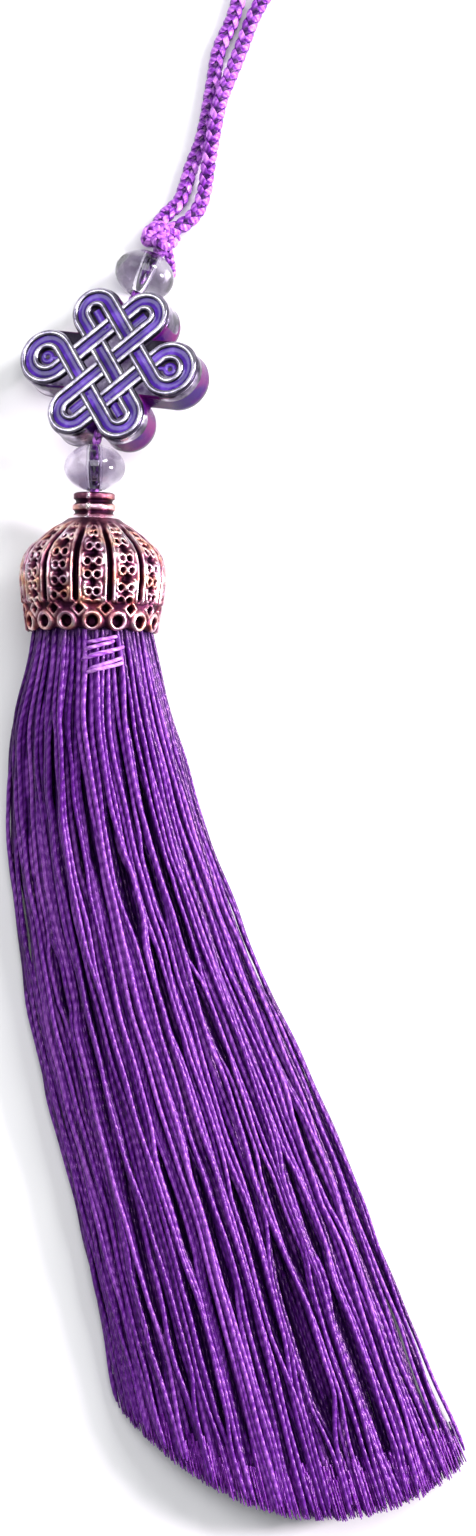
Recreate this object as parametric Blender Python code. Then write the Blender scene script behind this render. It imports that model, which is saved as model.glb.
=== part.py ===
"""Chinese knot tassel, lying face up on a table.

A silk tassel under a cast copper cap, a glass bead, a six-lobed endless knot charm,
a second glass bead, and a doubled braided cord that makes the hanging loop.
"""

import bmesh
import bpy
from math import atan2, cos, pi, radians, sin, sqrt
from mathutils import Matrix, Vector

MM = 0.001
CLEAR = 0.3

# The layout sheet: x runs right from its left edge and y runs down from its top edge,
# both in millimetres, and this point of it is the middle of the finished part
SHEET_MIDDLE_X = 23.6
SHEET_MIDDLE_Y = 86.9

# Hanging loop and the cord that carries the beads
LOOP_CORD_DIAMETER = 1.6
CORE_CORD_DIAMETER = 1.0
CORE_BORE = CORE_CORD_DIAMETER + 2 * CLEAR

# Glass beads
BEAD_DIAMETER = 6.1
BEAD_LENGTH = 4.5
UPPER_BEAD = (14.4, 27.2, 3.12)
LOWER_BEAD = (9.55, 46.95, 7.0)

# Stopper knot above the upper bead
KNOT_WIDTH = 4.1
KNOT_LENGTH = 3.4
KNOT_CENTRE = (15.95, 23.4, 2.1)
KNOT_TURNS = 3
KNOT_RIDGE = 0.3

# Endless knot charm
CHARM_CENTRE = (11.45, 37.05, 5.45)
CHARM_YAW = -13.3
CHARM_PITCH = -12.0
CHARM_ROLL = -22.0
BAND_ANGLE = 48.4
BAND_PITCH = 3.1
BAND_WIDTH = 1.95
CHANNEL_WIDTH = 0.95
RELIEF = 0.4
CHANNEL_FLOOR = 0.15
TURN_REACH = 5.7
ROUND_LOBE_REACH = 6.7
PLATE_THICKNESS = 3.3
PLATE_BORDER = 0.15
BAND_SEAT = 0.3

# Cap
CAP_TOP = (9.53, 49.5)
CAP_LEAN = 1.0
CAP_AXIS_HEIGHT = 7.05
CAP_GORES = 13
CAP_RINGS = 16
CAP_SEGMENTS = 78
CAP_TURN = 92.5
SLOT_DEPTH = 0.3
RING_RELIEF = 0.22
SCALLOP = 0.3

# Tassel
HEAD_CLEARANCE = 0.35
LOCK_COLUMNS = 28
LOCK_ROWS = 7
LOCK_FILL = 0.43
BUNDLE_RADIUS = 5.4
END_BULGE = 7.0
BOTTOM_SHORTER = 0.05
END_UNEVEN = 0.012
SETTLED_AT = 0.25

PURPLE_SILK = (0.11, 0.012, 0.30, 1.0)
PURPLE_CORD = (0.20, 0.04, 0.36, 1.0)
SILVER = (0.62, 0.60, 0.66, 1.0)
COPPER = (0.52, 0.27, 0.22, 1.0)
GLASS = (0.86, 0.85, 0.92, 1.0)


def at(x, y, z):
    """Layout sheet position in millimetres to the part's own frame in metres."""
    return Vector(((x - SHEET_MIDDLE_X) * MM, (SHEET_MIDDLE_Y - y) * MM, z * MM))


def clear_scene():
    for old in list(bpy.data.objects):
        bpy.data.objects.remove(old, do_unlink=True)


def collection(name):
    made = bpy.data.collections.new(name)
    bpy.context.scene.collection.children.link(made)
    return made


def material(name, colour, roughness, metallic, transmission=0.0):
    made = bpy.data.materials.new(name)
    made.use_nodes = True
    shader = made.node_tree.nodes["Principled BSDF"]
    shader.inputs["Base Color"].default_value = colour
    shader.inputs["Roughness"].default_value = roughness
    shader.inputs["Metallic"].default_value = metallic
    shader.inputs["Transmission Weight"].default_value = transmission
    made.diffuse_color = colour
    return made


def new_object(name, mesh_or_curve, group, finish=None):
    made = bpy.data.objects.new(name, mesh_or_curve)
    group.objects.link(made)
    if finish:
        made.data.materials.append(finish)
    return made


def mesh_from_bmesh(name, bm):
    bmesh.ops.recalc_face_normals(bm, faces=bm.faces)
    mesh = bpy.data.meshes.new(name)
    bm.to_mesh(mesh)
    bm.free()
    return mesh


def shade_round(mesh, angle=35.0):
    mesh.shade_smooth()
    mesh.set_sharp_from_angle(angle=radians(angle))


def hide_as_cutter(cutter):
    cutter.hide_render = True
    cutter.display_type = "WIRE"


def boolean(target, other, operation):
    cut = target.modifiers.new(operation.lower() + "_" + other.name, "BOOLEAN")
    cut.operation = operation
    cut.solver = "EXACT"
    cut.object = other


def smooth_table(rows, t):
    """Row of numbers at t, on a smooth curve through a table whose first column is t."""
    last = len(rows) - 2
    k = 0
    while k < last and t > rows[k + 1][0]:
        k += 1
    before = rows[max(k - 1, 0)]
    start = rows[k]
    end = rows[k + 1]
    after = rows[min(k + 2, len(rows) - 1)]
    span = end[0] - start[0]
    f = min(max((t - start[0]) / span, 0.0), 1.0)
    out = []
    for column in range(1, len(start)):
        slope_in = (end[column] - before[column]) / (end[0] - before[0])
        slope_out = (after[column] - start[column]) / (after[0] - start[0])
        a = start[column]
        b = end[column]
        m0 = slope_in * span
        m1 = slope_out * span
        out.append(
            (2 * f**3 - 3 * f**2 + 1) * a
            + (f**3 - 2 * f**2 + f) * m0
            + (3 * f**2 - 2 * f**3) * b
            + (f**3 - f**2) * m1
        )
    return out


def smooth_route(points, spacing):
    """Points at an even spacing on a smooth curve through the given points."""
    rows = [(0.0, *points[0])]
    for a, b in zip(points, points[1:]):
        rows.append((rows[-1][0] + (Vector(b) - Vector(a)).length, *b))
    total = rows[-1][0]
    count = max(int(round(total / spacing)), 2)
    return [Vector(smooth_table(rows, total * k / count)) for k in range(count + 1)]


def tube(name, points, diameter, group, finish):
    """Round cord through points, as a curve with filled ends."""
    curve = bpy.data.curves.new(name, "CURVE")
    curve.dimensions = "3D"
    curve.bevel_depth = diameter / 2
    curve.bevel_resolution = 2
    curve.use_fill_caps = True
    spline = curve.splines.new("POLY")
    spline.points.add(len(points) - 1)
    for place, point in zip(spline.points, points):
        place.co = (*point, 1.0)
    return new_object(name, curve, group, finish)


def turned(name, profile, segments, shape=None):
    """Closed turned body about Z from a closed profile of (radius, height) in millimetres.

    shape(angle, radius, height) gives the radius and height that relief leaves there.
    """
    bm = bmesh.new()
    rings = []
    for radius, height in profile:
        ring = []
        for k in range(segments):
            angle = 2 * pi * k / segments
            r, h = shape(angle, radius, height) if shape else (radius, height)
            ring.append(bm.verts.new((r * cos(angle) * MM, r * sin(angle) * MM, h * MM)))
        rings.append(ring)
    for ring, following in zip(rings, rings[1:] + rings[:1]):
        for k in range(segments):
            n = (k + 1) % segments
            bm.faces.new((ring[k], ring[n], following[n], following[k]))
    return mesh_from_bmesh(name, bm)


def along(direction, centre):
    """Matrix that stands a body turned about Z along direction, with its middle at centre."""
    turn = Vector(direction).to_track_quat("Z", "Y").to_matrix().to_4x4()
    return Matrix.Translation(centre) @ turn


# Cord through the beads, the charm and the neck
def charm_matrix():
    """Charm plate frame: X across, Y along the cord towards the loop, Z out of its face."""
    turn = (
        Matrix.Rotation(radians(CHARM_YAW), 4, "Z")
        @ Matrix.Rotation(radians(CHARM_PITCH), 4, "X")
        @ Matrix.Rotation(radians(CHARM_ROLL), 4, "Y")
    )
    return Matrix.Translation(at(*CHARM_CENTRE)) @ turn


def upper_bead_axis():
    """Direction of the upper bead's bore, towards the stopper knot."""
    return (at(*KNOT_CENTRE) - charm_matrix() @ Vector((0, 6.6 * MM, 0))).normalized()


def lower_bead_axis():
    """Direction of the lower bead's bore, towards the charm."""
    return (at(*LOWER_BEAD) - at(*CAP_TOP, CAP_AXIS_HEIGHT)).normalized()


def knot_axis():
    return Vector((2.6, 4.2, -1.1)).normalized()


def knot_foot(gap):
    """Point on the knot's axis, a gap below its lower end."""
    return at(*KNOT_CENTRE) - knot_axis() * (KNOT_LENGTH / 2 + gap) * MM


def cord_axis():
    """Smooth line of the core cord, from the stopper knot down into the cap's neck."""
    frame = charm_matrix()
    charm_top = frame @ Vector((0, 6.6 * MM, 0))
    charm_bottom = frame @ Vector((0, -6.6 * MM, 0))
    through_bead = lower_bead_axis()
    return [
        knot_foot(CLEAR),
        at(*UPPER_BEAD) + upper_bead_axis() * 1.5 * MM,
        at(*UPPER_BEAD) - upper_bead_axis() * 1.5 * MM,
        charm_top,
        frame @ Vector((0, 0, 0)),
        charm_bottom,
        at(*LOWER_BEAD) + through_bead * 1.2 * MM,
        at(*LOWER_BEAD) - through_bead * 1.2 * MM,
        at(CAP_TOP[0], CAP_TOP[1] + 0.8, CAP_AXIS_HEIGHT),
        at(CAP_TOP[0] - 0.07, CAP_TOP[1] + 4.0, CAP_AXIS_HEIGHT),
    ]


def add_core_cord(group, finish):
    route = smooth_route(cord_axis(), 2.0 * CORE_CORD_DIAMETER * MM)
    return tube("core_cord", route, CORE_CORD_DIAMETER * MM, group, finish)


# Glass beads
def bead_profile():
    radius = BEAD_DIAMETER / 2
    half = BEAD_LENGTH / 2
    bore = CORE_BORE / 2 + 0.05
    mouth = bore + 0.35
    steps = 9
    start = atan2(half, mouth)
    points = [(bore, -half + 0.25), (bore, half - 0.25), (mouth, half)]
    for k in range(1, steps):
        angle = start * (1 - 2 * k / steps)
        points.append((radius * cos(angle), half * sin(angle) / sin(start)))
    points.append((mouth, -half))
    return points


def add_bead(name, centre, direction, group, finish):
    mesh = turned(name, bead_profile(), 28)
    mesh.transform(along(direction, at(*centre)))
    shade_round(mesh, 50.0)
    return new_object(name, mesh, group, finish)


# Stopper knot
def add_knot(group, finish):
    """Lump of cord turns pulled tight, its turns running aslant round it."""
    half = KNOT_LENGTH / 2
    bm = bmesh.new()
    rings = []
    ring_count = 15
    segments = 24
    for row in range(ring_count):
        angle_up = pi * (row + 0.7) / (ring_count + 0.4)
        height = -half * cos(angle_up)
        ring = []
        for k in range(segments):
            angle = 2 * pi * k / segments
            turn_phase = KNOT_TURNS * pi * (height / half) + angle
            ridge = KNOT_RIDGE * (abs(cos(turn_phase / 2)) - 0.5)
            radius = (KNOT_WIDTH - KNOT_RIDGE) / 2 * sin(angle_up) ** 0.45 + ridge * sin(angle_up)
            ring.append(bm.verts.new((radius * cos(angle) * MM, radius * sin(angle) * MM, height * MM)))
        rings.append(ring)
    for ring, following in zip(rings, rings[1:]):
        for k in range(segments):
            n = (k + 1) % segments
            bm.faces.new((ring[k], ring[n], following[n], following[k]))
    bm.faces.new(rings[0])
    bm.faces.new(rings[-1])
    mesh = mesh_from_bmesh("stopper_knot", bm)
    mesh.transform(along(knot_axis(), at(*KNOT_CENTRE)))
    shade_round(mesh, 60.0)
    return new_object("stopper_knot", mesh, group, finish)


# Endless knot charm
def band_direction(family):
    """Unit vector of the rising bands (family A) or of the falling bands (family B)."""
    lift = sin(radians(BAND_ANGLE))
    run = cos(radians(BAND_ANGLE))
    return Vector((run, lift)) if family == "A" else Vector((run, -lift))


def band_normal(family):
    """Unit vector across the bands: from A3 to A1, or from B1 to B3."""
    d = band_direction(family)
    return Vector((-d.y, d.x))


def band_offset(family, number):
    """Distance of a band's middle line from the charm's middle, along its normal."""
    step = 2 - number if family == "A" else number - 2
    return step * BAND_PITCH


def crossing(a, b):
    """Where band A number a meets band B number b."""
    na = band_normal("A")
    nb = band_normal("B")
    det = na.x * nb.y - na.y * nb.x
    ca = band_offset("A", a)
    cb = band_offset("B", b)
    return Vector(((ca * nb.y - na.y * cb) / det, (na.x * cb - ca * nb.x) / det))


def round_lobe_radius():
    return ROUND_LOBE_REACH * sin(radians(BAND_ANGLE)) - BAND_PITCH


def lobe_arcs():
    """The six lobes' arcs, each from the band that comes in to the band that goes out."""
    half = BAND_PITCH / 2
    steps = 8
    arcs = {}
    joins = {"BL": ("A", -1, 3, 2), "TR": ("A", 1, 2, 1), "BR": ("B", 1, 1, 2), "TL": ("B", -1, 2, 3)}
    for name, (family, sign, coming, going) in joins.items():
        d = band_direction(family) * sign
        n = band_normal(family)
        middle = d * TURN_REACH + n * (band_offset(family, coming) + band_offset(family, going)) / 2
        away = n * (band_offset(family, coming) - band_offset(family, going)) / BAND_PITCH
        points = []
        for k in range(steps + 1):
            angle = pi * k / steps
            points.append(middle + away * half * cos(angle) + d * half * sin(angle))
        arcs[name] = points
    radius = round_lobe_radius()
    for name, sign in (("L", -1), ("R", 1)):
        middle = Vector((sign * ROUND_LOBE_REACH, 0))
        half_sweep = pi / 2 + radians(BAND_ANGLE)
        points = []
        count = 12
        for k in range(count + 1):
            angle = half_sweep * (2 * k / count - 1)
            points.append(middle + radius * Vector((sign * cos(angle), sin(angle))))
        arcs[name] = points
    return arcs


OVER = {(1, 1): "B", (1, 2): "A", (1, 3): "B", (2, 1): "A", (2, 2): "B",
        (2, 3): "A", (3, 1): "B", (3, 2): "A", (3, 3): "B"}
KNOT_PATH = (("A", 3, (3, 2, 1), "BL"), ("A", 2, (1, 2, 3), "TR"), ("A", 1, (3, 2, 1), "L"),
             ("B", 1, (1, 2, 3), "BR"), ("B", 2, (3, 2, 1), "TL"), ("B", 3, (1, 2, 3), "R"))


def band_stretches():
    """The knot's nine visible stretches, each from one under-crossing to the next."""
    arcs = lobe_arcs()
    stretches = []
    current = []
    cross_angle = radians(2 * BAND_ANGLE)
    gap = BAND_WIDTH / 2 * (1 + abs(cos(cross_angle))) / sin(cross_angle) + 0.08
    for family, number, others, lobe in KNOT_PATH:
        first = crossing(number, others[0]) if family == "A" else crossing(others[0], number)
        final = crossing(number, others[-1]) if family == "A" else crossing(others[-1], number)
        heading = (final - first).normalized()
        for other in others:
            key = (number, other) if family == "A" else (other, number)
            point = crossing(*key)
            if OVER[key] == family:
                current.append(point)
            else:
                current.append(point - heading * gap)
                stretches.append(current)
                current = [point + heading * gap]
        current.extend(arcs[lobe])
    stretches[0] = current + stretches[0]
    return stretches


def strip(bm, points, section):
    """Sweep a closed section of (across, height) in millimetres along flat points."""
    rings = []
    last = len(points) - 1
    for k, point in enumerate(points):
        before = points[max(k - 1, 0)]
        after = points[min(k + 1, last)]
        forward = (after - before).normalized()
        across = Vector((-forward.y, forward.x))
        widen = 1.0
        if 0 < k < last:
            into = (point - before).normalized()
            widen = 1 / max(forward.dot(into), 0.7)
        ring = []
        for offset, height in section:
            place = point + across * offset * widen
            ring.append(bm.verts.new((place.x * MM, place.y * MM, height * MM)))
        rings.append(ring)
    size = len(section)
    for ring, following in zip(rings, rings[1:]):
        for k in range(size):
            n = (k + 1) % size
            bm.faces.new((ring[k], ring[n], following[n], following[k]))
    bm.faces.new(rings[0])
    bm.faces.new(rings[-1])


def plate_outline(count):
    """Six-lobed outline: for each direction, how far the furthest lobe reaches."""
    lobes = []
    reach = BAND_PITCH / 2 + BAND_WIDTH / 2 + PLATE_BORDER
    for family, sign, side in (("A", 1, 1), ("A", -1, -1), ("B", 1, -1), ("B", -1, 1)):
        n = band_normal(family) * side * BAND_PITCH / 2
        lobes.append((n, n + band_direction(family) * sign * TURN_REACH, reach))
    round_reach = round_lobe_radius() + BAND_WIDTH / 2 + PLATE_BORDER
    for sign in (-1, 1):
        lobes.append((Vector((0, 0)), Vector((sign * ROUND_LOBE_REACH, 0)), round_reach))
    outline = []
    for k in range(count):
        angle = 2 * pi * k / count
        ray = Vector((cos(angle), sin(angle)))
        furthest = 0.0
        for start, end, radius in lobes:
            for step in range(25):
                centre = start.lerp(end, step / 24)
                along_ray = centre.dot(ray)
                off = (centre - ray * along_ray).length
                if off < radius:
                    furthest = max(furthest, along_ray + sqrt(radius * radius - off * off))
        outline.append(ray * furthest)
    return outline


def add_charm(group, cutters, finish):
    outline = plate_outline(72)
    half = PLATE_THICKNESS / 2
    bevel = 0.25
    bm = bmesh.new()
    rings = []
    for inset, height in ((bevel, -half), (0, -half + bevel), (0, half - bevel), (bevel, half)):
        ring = []
        for point in outline:
            place = point * (1 - inset / point.length)
            ring.append(bm.verts.new((place.x * MM, place.y * MM, height * MM)))
        rings.append(ring)
    for ring, following in zip(rings, rings[1:]):
        for k in range(len(ring)):
            n = (k + 1) % len(ring)
            bm.faces.new((ring[k], ring[n], following[n], following[k]))
    bm.faces.new(rings[0])
    bm.faces.new(rings[-1])
    plate = new_object("knot_charm", mesh_from_bmesh("knot_charm", bm), group, finish)

    wide = BAND_WIDTH / 2
    narrow = CHANNEL_WIDTH / 2
    top = half + RELIEF
    floor = half + CHANNEL_FLOOR
    section = ((wide, half - BAND_SEAT), (wide - 0.05, top), (narrow + 0.08, top), (narrow, floor),
               (-narrow, floor), (-narrow - 0.08, top), (-wide + 0.05, top), (-wide, half - BAND_SEAT))
    bm = bmesh.new()
    for stretch in band_stretches():
        strip(bm, stretch, section)
    bands = new_object("charm_bands", mesh_from_bmesh("charm_bands", bm), cutters)
    hide_as_cutter(bands)
    boolean(plate, bands, "UNION")

    bm = bmesh.new()
    bmesh.ops.create_cone(bm, cap_ends=True, segments=16, radius1=CORE_BORE / 2 * MM,
                          radius2=CORE_BORE / 2 * MM, depth=24 * MM)
    bore = new_object("charm_bore", mesh_from_bmesh("charm_bore", bm), cutters)
    hide_as_cutter(bore)
    boolean(plate, bore, "DIFFERENCE")
    frame = charm_matrix()
    for piece in (plate, bands):
        piece.matrix_world = frame
    bore.matrix_world = frame @ Matrix.Rotation(pi / 2, 4, "X")
    return plate


# Cap
CAP_PROFILE = (
    # distance below the neck's top, outer radius
    (0.0, 2.05), (0.7, 2.05), (0.95, 1.85), (1.25, 2.15), (1.75, 2.15), (2.0, 1.9), (2.35, 2.25),
    (3.9, 4.4), (5.3, 6.05), (6.2, 6.7), (7.3, 7.05), (8.7, 7.12), (10.8, 6.88), (11.5, 6.72),
    (12.6, 6.62), (13.5, 6.4), (13.9, 6.2),
)
CAP_INNER = (
    (13.6, 5.8), (8.7, 6.4), (6.8, 6.15), (5.3, 5.3), (3.7, 3.4), (3.0, 1.2), (2.4, CORE_BORE / 2 + 0.05),
    (0.0, CORE_BORE / 2 + 0.05),
)
SLOT_TOP = 4.0
SLOT_BOTTOM = 11.0
RING_TOP = 11.4


def cap_relief(angle, radius, height):
    """Grooves between the gores, and the rim's rings with their scalloped edge."""
    below = -height
    outer = radius > 1.9 and below > 3.5
    if not outer:
        return radius, height
    gore = (angle / (2 * pi) * CAP_GORES + 0.5) % 1.0
    to_slot = min(gore, 1.0 - gore)
    on_outer = radius > 6.5 or below < SLOT_BOTTOM
    if SLOT_TOP <= below <= SLOT_BOTTOM and on_outer and radius > cap_inner_radius(below) + 0.3:
        if to_slot < 0.05:
            radius -= SLOT_DEPTH
        elif to_slot < 0.25:
            radius += 0.08
    if below > RING_TOP and radius > 6.1:
        ring = abs(cos(angle * CAP_RINGS / 2))
        radius -= RING_RELIEF * (1 - ring)
        if below > 13.8:
            height += SCALLOP * (1 - ring)
    return radius, height


def cap_inner_radius(below):
    for (lower, r1), (upper, r2) in zip(CAP_INNER, CAP_INNER[1:]):
        if upper <= below <= lower:
            return r2 + (r1 - r2) * (below - upper) / (lower - upper)
    return CAP_INNER[0][1]


def cap_matrix():
    """Cap frame: Z points up its neck; its origin is the neck's top."""
    lean = radians(CAP_LEAN)
    up_the_neck = Vector((sin(lean), cos(lean), 0))
    return along(up_the_neck, at(*CAP_TOP, CAP_AXIS_HEIGHT))


def add_cap(group, cutters, finish):
    profile = [(r, -s) for s, r in CAP_PROFILE] + [(r, -s) for s, r in CAP_INNER]
    mesh = turned("cap", profile, CAP_SEGMENTS, cap_relief)
    mesh.transform(Matrix.Rotation(radians(CAP_TURN), 4, "Z"))
    mesh.transform(cap_matrix())
    shade_round(mesh)
    cap = new_object("cap", mesh, group, finish)
    bm = bmesh.new()
    bmesh.ops.create_cube(bm, size=1.0)
    floor = new_object("table_cut", mesh_from_bmesh("table_cut", bm), cutters)
    floor.scale = (30 * MM, 30 * MM, 4 * MM)
    floor.location = at(CAP_TOP[0], CAP_TOP[1] + 7, -2.0)
    hide_as_cutter(floor)
    boolean(cap, floor, "DIFFERENCE")
    return cap


# Tassel
SKIRT_TABLE = (
    # share of the length, left edge x and y, right edge x and y, pile height, height of its underside
    (0.00, 3.9, 63.0, 14.7, 63.0, 10.8, 1.65),
    (0.05, 3.3, 66.2, 15.5, 66.4, 10.7, 1.2),
    (0.12, 1.2, 72.6, 17.6, 73.4, 10.0, 0.3),
    (0.25, 0.5, 83.0, 21.0, 84.6, 8.3, 0.0),
    (0.40, 1.8, 95.0, 25.9, 96.6, 7.2, 0.0),
    (0.55, 3.8, 106.9, 31.7, 109.3, 6.4, 0.0),
    (0.70, 6.6, 118.8, 37.2, 122.5, 5.8, 0.0),
    (0.85, 9.3, 130.7, 42.3, 135.0, 5.2, 0.0),
    (1.00, 11.8, 142.5, 47.6, 148.0, 4.6, 0.0),
)
LOCK_STATIONS = (0.0, 0.06, 0.17, 0.40, 0.70, 1.0)


def lock_place(u, v, level, t):
    """Middle of a lock at share t of the length, with half its width and half its height.

    u is its place across the bundle from -1 to 1, v its height in the round bundle from
    -1 to 1, and level the number of locks under it once the tassel lies flat.
    """
    lx, ly, rx, ry, pile, under = smooth_table(SKIRT_TABLE, t)
    share = (1 + u) / 2
    x = lx + (rx - lx) * share
    y = ly + (ry - ly) * share + END_BULGE * (1 - u * u) * t**2.2
    spread = sqrt((rx - lx) ** 2 + (ry - ly) ** 2)
    flat_pitch = pile / LOCK_ROWS
    round_z = CAP_AXIS_HEIGHT + v * BUNDLE_RADIUS
    flat_z = max(under, 0.0) + flat_pitch * (level + 0.5)
    settle = min(t / SETTLED_AT, 1.0)
    settle = settle * settle * (3 - 2 * settle)
    z = round_z + (flat_z - round_z) * settle
    half_width = spread / LOCK_COLUMNS * LOCK_FILL
    round_pitch = 2 * BUNDLE_RADIUS / LOCK_ROWS
    half_height = (round_pitch + (flat_pitch - round_pitch) * settle) * LOCK_FILL
    if level == 0:
        z = z + (half_height - flat_pitch * 0.5) * settle
    return Vector((x, y, z)), half_width, half_height


def add_lock(bm, u, v, level, end):
    """One four-sided lock of silk, its lower side level where it lies on the table."""
    middles = []
    for t in LOCK_STATIONS:
        middles.append(lock_place(u, v, level, t * end))
    rings = []
    last = len(middles) - 1
    for k, (middle, wide, high) in enumerate(middles):
        before = middles[max(k - 1, 0)][0]
        after = middles[min(k + 1, last)][0]
        forward = after - before
        across = Vector((forward.y, -forward.x, 0)).normalized()
        ring = []
        for side, lift in ((-1, -1), (1, -1), (1, 1), (-1, 1)):
            place = middle + across * side * wide
            ring.append(bm.verts.new(at(place.x, place.y, place.z + lift * high)))
        rings.append(ring)
    for ring, following in zip(rings, rings[1:]):
        for k in range(4):
            n = (k + 1) % 4
            bm.faces.new((ring[k], ring[n], following[n], following[k]))
    bm.faces.new(rings[0])
    bm.faces.new(rings[-1])


def add_skirt(group, cutters, finish):
    """The bound head inside the cap, with the locks of silk fused into its underside."""
    head = []
    for below, radius in ((4.3, 3.9), (5.5, 5.25), (7.0, 6.1), (8.7, 6.4), (13.6, 5.8)):
        head.append((radius - HEAD_CLEARANCE, -below))
    head.append((5.6, -14.6))
    bm = bmesh.new()
    segments = 32
    rings = []
    for radius, height in [(2.4, head[0][1])] + head[1:]:
        ring = []
        for k in range(segments):
            angle = 2 * pi * k / segments
            ring.append(bm.verts.new((radius * cos(angle) * MM, radius * sin(angle) * MM, height * MM)))
        rings.append(ring)
    for ring, following in zip(rings, rings[1:]):
        for k in range(segments):
            n = (k + 1) % segments
            bm.faces.new((ring[k], ring[n], following[n], following[k]))
    bm.faces.new(rings[0])
    bm.faces.new(rings[-1])
    mesh = mesh_from_bmesh("skirt", bm)
    mesh.transform(cap_matrix())
    skirt = new_object("skirt", mesh, group, finish)

    bm = bmesh.new()
    for column in range(LOCK_COLUMNS):
        u = (2 * column + 1) / LOCK_COLUMNS - 1
        chord = sqrt(1 - u * u)
        rows = max(int(round(LOCK_ROWS * chord)), 2)
        for level in range(rows):
            v = chord * ((2 * level + 1) / rows - 1)
            tuck = BOTTOM_SHORTER * (1 - level / (rows - 1))
            uneven = END_UNEVEN * (sin(column * 2.4 + level * 1.7) - 1)
            add_lock(bm, u, v, level, 1.0 - tuck + uneven)
    locks = new_object("locks", mesh_from_bmesh("locks", bm), cutters)
    hide_as_cutter(locks)
    boolean(skirt, locks, "UNION")
    return skirt


# Hanging loop
LOOP_ROUTE = (
    # x, y, height, from the knot up the left leg, round the bight and down the right leg
    (16.25, 21.23, 1.65),
    (16.9, 20.5, 1.35),
    (17.8, 19.6, 1.0),
    (18.45, 18.0, 0.82),
    (19.05, 16.0, 0.82),
    (20.0, 13.6, 0.82),
    (20.6, 11.2, 0.82),
    (20.95, 9.2, 0.82),
    (21.3, 7.2, 0.82),
    (21.9, 4.0, 0.82),
    (23.3, 0.8, 0.82),
    (24.4, -3.5, 0.82),
    (24.9, -9.0, 0.82),
    (25.1, -15.5, 0.82),
    (25.6, -22.0, 0.82),
    (27.2, -28.0, 0.82),
    (30.3, -31.5, 0.82),
    (34.0, -31.7, 0.82),
    (36.7, -28.8, 0.82),
    (36.9, -24.0, 0.82),
    (35.0, -17.5, 0.82),
    (31.8, -10.5, 0.82),
    (28.4, -4.5, 0.82),
    (25.5, 0.4, 0.82),
    (24.1, 4.0, 0.95),
    (23.0, 6.8, 1.5),
    (22.1, 9.2, 2.2),
    (21.6, 11.4, 2.3),
    (21.15, 13.8, 2.1),
    (20.75, 16.2, 1.55),
    (20.4, 18.4, 1.15),
    (19.85, 20.1, 1.2),
    (18.9, 21.4, 1.5),
    (17.75, 22.17, 1.65),
)


def add_loop(group, finish):
    route = smooth_route([at(*point) for point in LOOP_ROUTE], 2.0 * LOOP_CORD_DIAMETER * MM)
    return tube("hanging_loop", route, LOOP_CORD_DIAMETER * MM, group, finish)


def main():
    clear_scene()
    group = collection("chinese_knot_tassel")
    cutters = collection("cutters")
    silk = material("purple_silk", PURPLE_SILK, 0.45, 0.0)
    cord = material("purple_braid", PURPLE_CORD, 0.55, 0.0)
    silver = material("bright_silver", SILVER, 0.25, 1.0)
    copper = material("antique_copper", COPPER, 0.35, 1.0)
    glass = material("clear_glass", GLASS, 0.05, 0.0, 0.9)
    add_loop(group, cord)
    add_knot(group, cord)
    add_bead("upper_bead", UPPER_BEAD, upper_bead_axis(), group, glass)
    add_charm(group, cutters, silver)
    add_bead("lower_bead", LOWER_BEAD, lower_bead_axis(), group, glass)
    add_cap(group, cutters, copper)
    add_core_cord(group, cord)
    add_skirt(group, cutters, silk)


main()
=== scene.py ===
"""Looks of the chinese knot tassel: silk threads, braided cord, glass, enamelled charm, copper cap."""

from math import atan2, cos, pi, radians, sin, sqrt

import bmesh
import bpy
import numpy as np
from mathutils import Matrix, Vector


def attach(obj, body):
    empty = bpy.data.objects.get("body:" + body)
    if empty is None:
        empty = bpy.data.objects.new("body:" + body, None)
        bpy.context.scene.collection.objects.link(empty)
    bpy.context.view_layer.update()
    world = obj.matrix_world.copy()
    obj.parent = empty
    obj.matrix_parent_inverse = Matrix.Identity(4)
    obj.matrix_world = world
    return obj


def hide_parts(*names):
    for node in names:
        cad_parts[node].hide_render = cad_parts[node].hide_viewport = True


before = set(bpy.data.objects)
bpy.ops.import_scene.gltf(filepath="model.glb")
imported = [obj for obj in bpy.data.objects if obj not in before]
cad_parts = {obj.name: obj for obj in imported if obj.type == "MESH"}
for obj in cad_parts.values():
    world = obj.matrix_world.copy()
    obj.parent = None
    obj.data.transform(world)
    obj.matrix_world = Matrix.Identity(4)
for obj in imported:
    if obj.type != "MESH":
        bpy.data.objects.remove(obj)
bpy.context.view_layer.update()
MM = 0.001
rng = np.random.default_rng(11)


# The layout sheet of the part, in millimetres: x right, y down, z up from the table
SHEET_MIDDLE = (23.6, 86.9)
LOOP_CORD = 1.6
LOOP_SWELL = 1.07
CORE_CORD = 1.0
BEAD_DIAMETER = 6.1
BEAD_LENGTH = 4.5
BEAD_BORE = 1.16
UPPER_BEAD = (14.4, 27.2, 3.12)
LOWER_BEAD = (9.55, 46.95, 7.0)
KNOT_CENTRE = (15.95, 23.4, 2.1)
KNOT_LENGTH = 3.4
KNOT_AXIS = (2.6, 4.2, -1.1)
CHARM_CENTRE = (11.45, 37.05, 5.45)
CHARM_TURNS = (-22.0, -12.0, -13.3)
BAND_ANGLE = radians(48.4)
BAND_PITCH = 3.1
BAND_WIDTH = 1.95
CHANNEL_WIDTH = 0.78
TURN_REACH = 5.7
ROUND_LOBE_REACH = 6.7
PLATE_THICKNESS = 3.3
PLATE_BORDER = 0.15
CAP_TOP = (9.53, 49.5, 7.05)
CAP_LEAN = 1.0
BUNDLE_RADIUS = 5.6


def at(x, y, z):
    """Layout sheet position in millimetres to the part's frame in metres."""
    return Vector(((x - SHEET_MIDDLE[0]) * MM, (SHEET_MIDDLE[1] - y) * MM, z * MM))


# Camera straight above the layout, where the photograph was taken
CAMERA_POINT = (0.0002, 0.0101, 0.320)
VIEW_HEIGHT = 0.1536
SHARP_HEIGHT = 0.005
SENSOR = 36.0


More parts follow.
